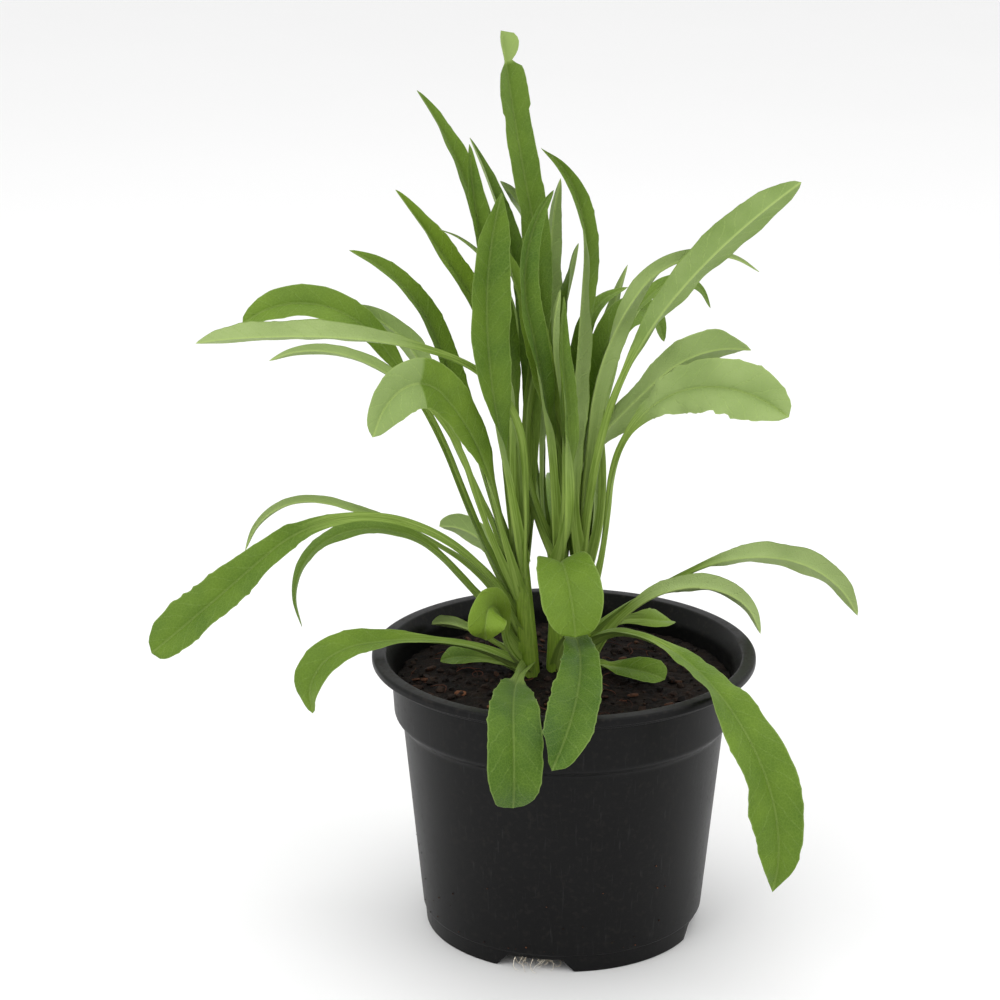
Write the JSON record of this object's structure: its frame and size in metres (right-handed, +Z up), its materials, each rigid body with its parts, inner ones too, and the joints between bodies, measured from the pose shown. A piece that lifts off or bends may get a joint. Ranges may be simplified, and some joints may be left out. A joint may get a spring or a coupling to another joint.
{
  "type": "potted cornflower",
  "caption": "Young cornflower plant with long arching grey-green leaves in a round black nursery pot filled with dark compost.",
  "frame": {"origin": "on the axis of the pot at the level it stands on, which is also the middle of the footprint of the whole plant within a few millimetres", "axes": "+Z up along the pot axis, the longest extent; the side seen best, with leaves falling over the rim, faces between +X and -Y"},
  "size_m": [0.2672, 0.2738, 0.3987],
  "materials": {
    "pot": "black moulded polypropylene, satin, faintly scuffed",
    "soil": null,
    "leaf_green": null,
    "stem_green": null
  },
  "bodies": {
    "root": {"leaf_left_arch_left": "leaf_green", "leaf_left_broad_front": "leaf_green", "leaf_left_dark_back": "leaf_green", "leaf_left_fold_left": "leaf_green", "leaf_left_front_drop": "leaf_green", "leaf_left_hook_low": "leaf_green", "leaf_left_level_left": "leaf_green", "leaf_left_long_low": "leaf_green", "leaf_left_pale_behind": "leaf_green", "leaf_left_pale_low": "leaf_green", "leaf_left_rim_left": "leaf_green", "leaf_left_small_back": "leaf_green", "leaf_left_small_fold": "leaf_green", "leaf_left_soil_left": "leaf_green", "leaf_left_spoon_left": "leaf_green", "leaf_left_thin_left": "leaf_green", "leaf_left_thin_low": "leaf_green", "leaf_left_top_left": "leaf_green", "leaf_left_top_mid": "leaf_green", "leaf_left_upper_left": "leaf_green", "leaf_middle_back_arch": "leaf_green", "leaf_middle_back_mid": "leaf_green", "leaf_middle_blunt": "leaf_green", "leaf_middle_cross": "leaf_green", "leaf_middle_curl_front": "leaf_green", "leaf_middle_front_mid": "leaf_green", "leaf_middle_hair_left": "leaf_green", "leaf_middle_pale_back": "leaf_green", "leaf_middle_pale_mid": "leaf_green", "leaf_middle_pale_top": "leaf_green", "leaf_middle_round_front": "leaf_green", "leaf_middle_slim_back": "leaf_green", "leaf_middle_slim_front": "leaf_green", "leaf_middle_tallest": "leaf_green", "leaf_right_arch_low": "leaf_green", "leaf_right_arch_right": "leaf_green", "leaf_right_back_droop": "leaf_green", "leaf_right_back_long": "leaf_green", "leaf_right_back_thin": "leaf_green", "leaf_right_dark_hook": "leaf_green", "leaf_right_long_drop": "leaf_green", "leaf_right_long_right": "leaf_green", "leaf_right_pair_lower": "leaf_green", "leaf_right_pair_upper": "leaf_green", "leaf_right_pale_upright": "leaf_green", "leaf_right_ribbed": "leaf_green", "leaf_right_sickle": "leaf_green", "leaf_right_soil_lower": "leaf_green", "leaf_right_soil_upper": "leaf_green", "leaf_right_spike": "leaf_green", "pot": "pot", "shoot_left": "stem_green", "shoot_middle": "stem_green", "shoot_right": "stem_green", "soil": "soil"}
  },
  "joints": []
}
